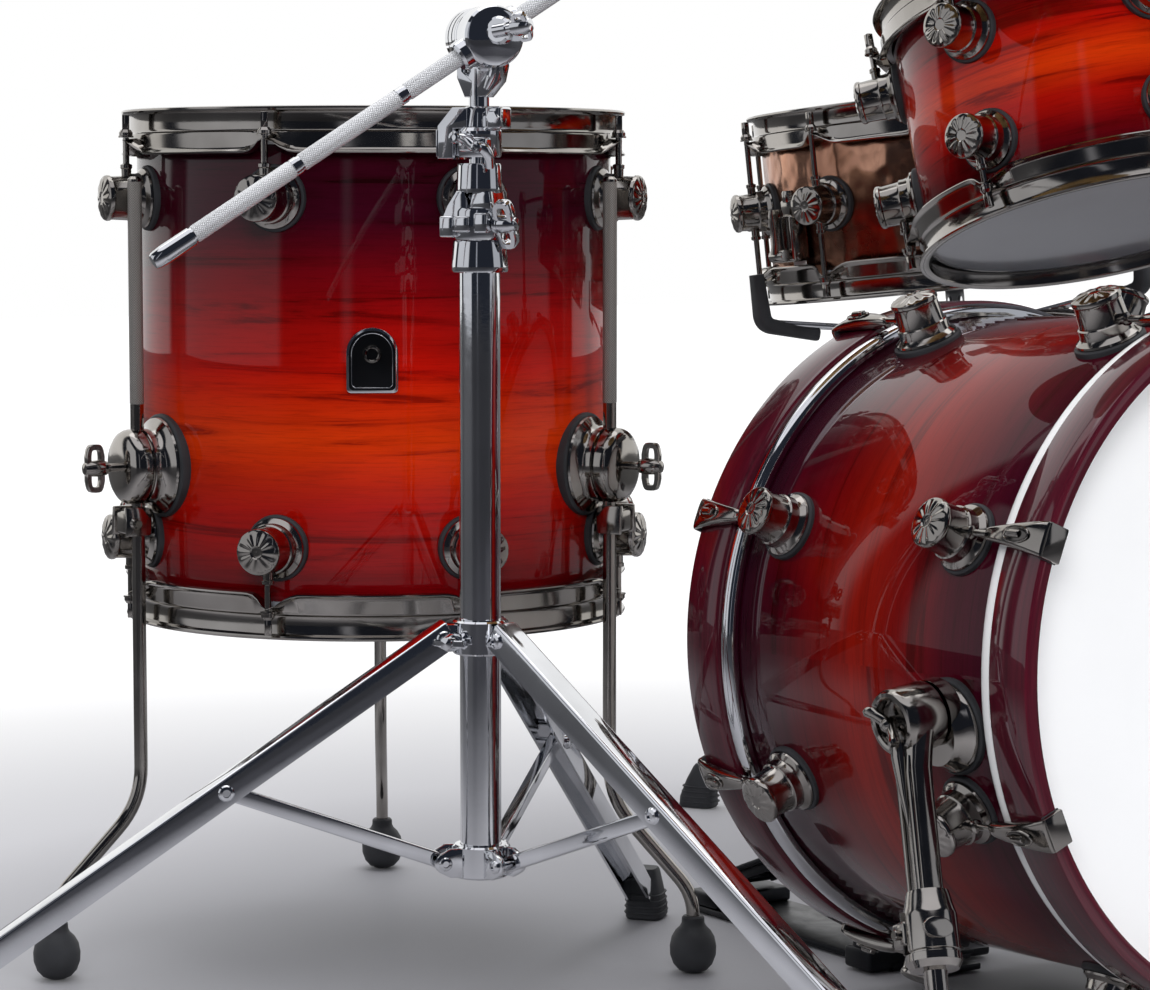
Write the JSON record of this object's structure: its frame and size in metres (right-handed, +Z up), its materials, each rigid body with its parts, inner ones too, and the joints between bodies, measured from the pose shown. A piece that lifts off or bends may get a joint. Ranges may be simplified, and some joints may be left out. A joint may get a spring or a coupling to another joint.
{
  "type": "acoustic drum kit",
  "caption": "Acoustic drum kit: bass drum with pedal, rack tom, floor tom on legs, snare drum on its stand, and a boom cymbal stand.",
  "frame": {"origin": "middle of the kit on the floor it stands on", "axes": "+Z up, -Y towards the audience and the front of the bass drum, +X to the right of someone facing the kit"},
  "size_m": [1.6501, 1.2567, 1.0531],
  "materials": {
    "shell_lacquer": "high gloss lacquer, orange-red centre fading to dark maroon edges",
    "hoop_lacquer": "high gloss dark maroon lacquer",
    "coated_head": "coated white film",
    "clear_head": "hazy clear film",
    "black_nickel": "black nickel plate",
    "copper_shell": "hammered aged copper",
    "cymbal_bronze": "lathed bronze",
    "snare_steel": "coiled steel wire",
    "pedal_metal": "black coated metal",
    "chrome": "bright chrome"
  },
  "bodies": {
    "kit": {"bass_shell": "shell_lacquer", "bass_batter_head": "coated_head", "bass_front_head": "coated_head", "bass_batter_hoop": "hoop_lacquer", "bass_front_hoop": "hoop_lacquer", "floor_tom_shell": "shell_lacquer", "floor_tom_batter_head": "coated_head", "floor_tom_lower_head": "clear_head", "floor_tom_batter_hoop": "black_nickel", "floor_tom_lower_hoop": "black_nickel", "boom_stand_tube": "chrome", "snare_stand_tube": "chrome", "pedal_base": "pedal_metal"},
    "left_spur": {"left_spur": "black_nickel"},
    "left_spur_tip": {"left_spur_tip": "black_nickel"},
    "right_spur": {"right_spur": "black_nickel"},
    "right_spur_tip": {"right_spur_tip": "black_nickel"},
    "tom_post": {"tom_post": "black_nickel"},
    "rack_tom": {"tom_arm": "black_nickel", "rack_tom_shell": "shell_lacquer", "rack_tom_batter_head": "coated_head", "rack_tom_lower_head": "clear_head", "rack_tom_batter_hoop": "black_nickel", "rack_tom_lower_hoop": "black_nickel"},
    "floor_tom_leg_1": {"floor_tom_leg_1": "black_nickel"},
    "floor_tom_leg_screw_1": {"floor_tom_leg_screw_1": "black_nickel"},
    "floor_tom_leg_2": {"floor_tom_leg_2": "black_nickel"},
    "floor_tom_leg_screw_2": {"floor_tom_leg_screw_2": "black_nickel"},
    "floor_tom_leg_3": {"floor_tom_leg_3": "black_nickel"},
    "floor_tom_leg_screw_3": {"floor_tom_leg_screw_3": "black_nickel"},
    "boom_stand_leg_collar": {"boom_stand_leg_collar": "chrome"},
    "boom_stand_leg_1": {"boom_stand_leg_1": "chrome"},
    "boom_stand_brace_1": {"boom_stand_brace_1": "chrome"},
    "boom_stand_leg_2": {"boom_stand_leg_2": "chrome"},
    "boom_stand_brace_2": {"boom_stand_brace_2": "chrome"},
    "boom_stand_leg_3": {"boom_stand_leg_3": "chrome"},
    "boom_stand_brace_3": {"boom_stand_brace_3": "chrome"},
    "snare_stand_leg_collar": {"snare_stand_leg_collar": "chrome"},
    "snare_stand_leg_1": {"snare_stand_leg_1": "chrome"},
    "snare_stand_brace_1": {"snare_stand_brace_1": "chrome"},
    "snare_stand_leg_2": {"snare_stand_leg_2": "chrome"},
    "snare_stand_brace_2": {"snare_stand_brace_2": "chrome"},
    "snare_stand_leg_3": {"snare_stand_leg_3": "chrome"},
    "snare_stand_brace_3": {"snare_stand_brace_3": "chrome"},
    "boom_stand_mid_tube": {"boom_stand_mid_tube": "chrome"},
    "boom_stand_top_tube": {"boom_stand_top_tube": "chrome"},
    "boom_tilter": {"boom_tilter": "chrome"},
    "boom_rod": {"boom_rod": "chrome"},
    "cymbal": {"cymbal": "cymbal_bronze"},
    "snare_stand_post": {"snare_stand_post": "chrome"},
    "snare_drum": {"snare_basket": "chrome", "snare_shell": "copper_shell", "snare_batter_head": "coated_head", "snare_lower_head": "clear_head", "snare_batter_hoop": "black_nickel", "snare_lower_hoop": "black_nickel", "snare_wires": "snare_steel"},
    "snare_strainer_lever": {"snare_strainer_lever": "black_nickel"},
    "pedal_footboard": {"pedal_footboard": "pedal_metal"},
    "pedal_beater": {"pedal_beater": "pedal_metal"}
  },
  "joints": [
    {"name": "left_spur_fold", "type": "hinge", "parent": "kit", "child": "left_spur", "pos_m": [-0.1846, -0.44843, 0.27859], "axis": [-0.9903, -0.0051, -0.1391], "range_deg": [-117, 0]},
    {"name": "left_spur_reach", "type": "slide", "parent": "left_spur", "child": "left_spur_tip", "axis": [-0.1784, -0.3893, -0.9037], "range_m": [-0.03, 0.05]},
    {"name": "right_spur_fold", "type": "hinge", "parent": "kit", "child": "right_spur", "pos_m": [0.3976, -0.44843, 0.27859], "axis": [0.9903, -0.0051, -0.1391], "range_deg": [0, 117]},
    {"name": "right_spur_reach", "type": "slide", "parent": "right_spur", "child": "right_spur_tip", "axis": [0.1784, -0.3893, -0.9037], "range_m": [-0.03, 0.05]},
    {"name": "tom_post_height", "type": "slide", "parent": "kit", "child": "tom_post", "axis": [0, 0, 1], "range_m": [-0.01, 0.07]},
    {"name": "rack_tom_tilt", "type": "hinge", "parent": "tom_post", "child": "rack_tom", "pos_m": [0.2265, -0.3597, 0.79], "axis": [1, 0, 0], "range_deg": [-10, 12]},
    {"name": "floor_tom_leg_1", "type": "slide", "parent": "kit", "child": "floor_tom_leg_1", "axis": [0, 0, 1], "range_m": [-0.05, 0.06]},
    {"name": "floor_tom_leg_screw_1", "type": "hinge", "parent": "kit", "child": "floor_tom_leg_screw_1", "pos_m": [-0.47029, 0.24411, 0.423], "axis": [-1, 0.007, 0], "continuous": true},
    {"name": "floor_tom_leg_2", "type": "slide", "parent": "kit", "child": "floor_tom_leg_2", "axis": [0, 0, 1], "range_m": [-0.05, 0.06]},
    {"name": "floor_tom_leg_screw_2", "type": "hinge", "parent": "kit", "child": "floor_tom_leg_screw_2", "pos_m": [-0.10354, 0.02894, 0.423], "axis": [0.4939, -0.8695, 0], "continuous": true},
    {"name": "floor_tom_leg_3", "type": "slide", "parent": "kit", "child": "floor_tom_leg_3", "axis": [0, 0, 1], "range_m": [-0.05, 0.06]},
    {"name": "floor_tom_leg_screw_3", "type": "hinge", "parent": "kit", "child": "floor_tom_leg_screw_3", "pos_m": [-0.10057, 0.45415, 0.423], "axis": [0.506, 0.8625, 0], "continuous": true},
    {"name": "boom_stand_fold", "type": "slide", "parent": "kit", "child": "boom_stand_leg_collar", "axis": [0, 0, 1], "range_m": [0, 0.15]},
    {"name": "boom_stand_leg_1", "type": "hinge", "parent": "boom_stand_leg_collar", "child": "boom_stand_leg_1", "pos_m": [-0.32672, -0.11518, 0.315], "axis": [0.6508, -0.7593, 0], "range_deg": [-27.09, 0]},
    {"name": "boom_stand_brace_1", "type": "hinge", "parent": "kit", "child": "boom_stand_brace_1", "pos_m": [-0.32672, -0.11518, 0.1435], "axis": [0.6508, -0.7593, 0], "range_deg": [0, 36.4]},
    {"name": "boom_stand_leg_2", "type": "hinge", "parent": "boom_stand_leg_collar", "child": "boom_stand_leg_2", "pos_m": [-0.34398, -0.16419, 0.315], "axis": [-0.9829, -0.184, 0], "range_deg": [-27.09, 0]},
    {"name": "boom_stand_brace_2", "type": "hinge", "parent": "kit", "child": "boom_stand_brace_2", "pos_m": [-0.34398, -0.16419, 0.1435], "axis": [-0.9829, -0.184, 0], "range_deg": [0, 36.4]},
    {"name": "boom_stand_leg_3", "type": "hinge", "parent": "boom_stand_leg_collar", "child": "boom_stand_leg_3", "pos_m": [-0.3778, -0.12473, 0.315], "axis": [0.3322, 0.9432, 0], "range_deg": [-27.09, 0]},
    {"name": "boom_stand_brace_3", "type": "hinge", "parent": "kit", "child": "boom_stand_brace_3", "pos_m": [-0.3778, -0.12473, 0.1435], "axis": [0.3322, 0.9432, 0], "range_deg": [0, 36.4]},
    {"name": "snare_stand_fold", "type": "slide", "parent": "kit", "child": "snare_stand_leg_collar", "axis": [0, 0, 1], "range_m": [0, 0.07]},
    {"name": "snare_stand_leg_1", "type": "hinge", "parent": "snare_stand_leg_collar", "child": "snare_stand_leg_1", "pos_m": [0.51101, 0.38957, 0.235], "axis": [0.848, 0.5299, 0], "range_deg": [-23.82, 0]},
    {"name": "snare_stand_brace_1", "type": "hinge", "parent": "kit", "child": "snare_stand_brace_1", "pos_m": [0.51101, 0.38957, 0.095], "axis": [0.848, 0.5299, 0], "range_deg": [0, 29.38]},
    {"name": "snare_stand_leg_2", "type": "hinge", "parent": "snare_stand_leg_collar", "child": "snare_stand_leg_2", "pos_m": [0.51258, 0.34457, 0.235], "axis": [-0.8829, 0.4695, 0], "range_deg": [-23.82, 0]},
    {"name": "snare_stand_brace_2", "type": "hinge", "parent": "kit", "child": "snare_stand_brace_2", "pos_m": [0.51258, 0.34457, 0.095], "axis": [-0.8829, 0.4695, 0], "range_deg": [0, 29.38]},
    {"name": "snare_stand_leg_3", "type": "hinge", "parent": "snare_stand_leg_collar", "child": "snare_stand_leg_3", "pos_m": [0.55077, 0.36843, 0.235], "axis": [0.0349, -0.9994, 0], "range_deg": [-23.82, 0]},
    {"name": "snare_stand_brace_3", "type": "hinge", "parent": "kit", "child": "snare_stand_brace_3", "pos_m": [0.55077, 0.36843, 0.095], "axis": [0.0349, -0.9994, 0], "range_deg": [0, 29.38]},
    {"name": "boom_stand_mid_height", "type": "slide", "parent": "kit", "child": "boom_stand_mid_tube", "axis": [0, 0, 1], "range_m": [0, 0.25]},
    {"name": "boom_stand_top_height", "type": "slide", "parent": "boom_stand_mid_tube", "child": "boom_stand_top_tube", "axis": [0, 0, 1], "range_m": [0, 0.25]},
    {"name": "boom_tilt", "type": "hinge", "parent": "boom_stand_top_tube", "child": "boom_tilter", "pos_m": [-0.3495, -0.1347, 0.765], "axis": [0.2079, 0.9781, 0], "range_deg": [-30, 5]},
    {"name": "boom_slide", "type": "slide", "parent": "boom_tilter", "child": "boom_rod", "axis": [0.8231, -0.175, 0.5402], "range_m": [-0.1, 0.1]},
    {"name": "cymbal_tip", "type": "hinge", "parent": "boom_rod", "child": "cymbal", "pos_m": [-0.0268, -0.21932, 1.01806], "axis": [0.9781, -0.2079, 0], "range_deg": [-10, 10]},
    {"name": "snare_stand_height", "type": "slide", "parent": "kit", "child": "snare_stand_post", "axis": [0, 0, 1], "range_m": [0, 0.12]},
    {"name": "snare_basket_tilt", "type": "hinge", "parent": "snare_stand_post", "child": "snare_drum", "pos_m": [0.52479, 0.36752, 0.49543], "axis": [0.682, 0.7314, 0], "range_deg": [-8, 14]},
    {"name": "snare_strainer", "type": "hinge", "parent": "snare_drum", "child": "snare_strainer_lever", "pos_m": [0.31088, 0.38135, 0.58764], "axis": [0.0348, 0.997, -0.0688], "range_deg": [-95, 0]},
    {"name": "pedal_footboard", "type": "hinge", "parent": "kit", "child": "pedal_footboard", "pos_m": [0.1065, 0.1573, 0.03], "axis": [-1, 0, 0], "range_deg": [-13.5, 0], "stiffness_Nm_per_rad": 12, "springref_deg": 20.05},
    {"name": "pedal_beater", "type": "hinge", "parent": "kit", "child": "pedal_beater", "pos_m": [0.1065, -0.0977, 0.215], "axis": [-1, 0, 0], "range_deg": [-47.3, 0]}
  ],
  "couplings": [
    {"joint": "boom_stand_leg_1", "follows": "boom_stand_fold", "rad_per_m": -3.1461},
    {"joint": "boom_stand_brace_1", "follows": "boom_stand_fold", "rad_per_m": 4.2301},
    {"joint": "boom_stand_leg_2", "follows": "boom_stand_fold", "rad_per_m": -3.1461},
    {"joint": "boom_stand_brace_2", "follows": "boom_stand_fold", "rad_per_m": 4.2301},
    {"joint": "boom_stand_leg_3", "follows": "boom_stand_fold", "rad_per_m": -3.1461},
    {"joint": "boom_stand_brace_3", "follows": "boom_stand_fold", "rad_per_m": 4.2301},
    {"joint": "snare_stand_leg_1", "follows": "snare_stand_fold", "rad_per_m": -5.9273},
    {"joint": "snare_stand_brace_1", "follows": "snare_stand_fold", "rad_per_m": 7.3139},
    {"joint": "snare_stand_leg_2", "follows": "snare_stand_fold", "rad_per_m": -5.9273},
    {"joint": "snare_stand_brace_2", "follows": "snare_stand_fold", "rad_per_m": 7.3139},
    {"joint": "snare_stand_leg_3", "follows": "snare_stand_fold", "rad_per_m": -5.9273},
    {"joint": "snare_stand_brace_3", "follows": "snare_stand_fold", "rad_per_m": 7.3139},
    {"joint": "pedal_beater", "follows": "pedal_footboard", "ratio": 3.5}
  ]
}
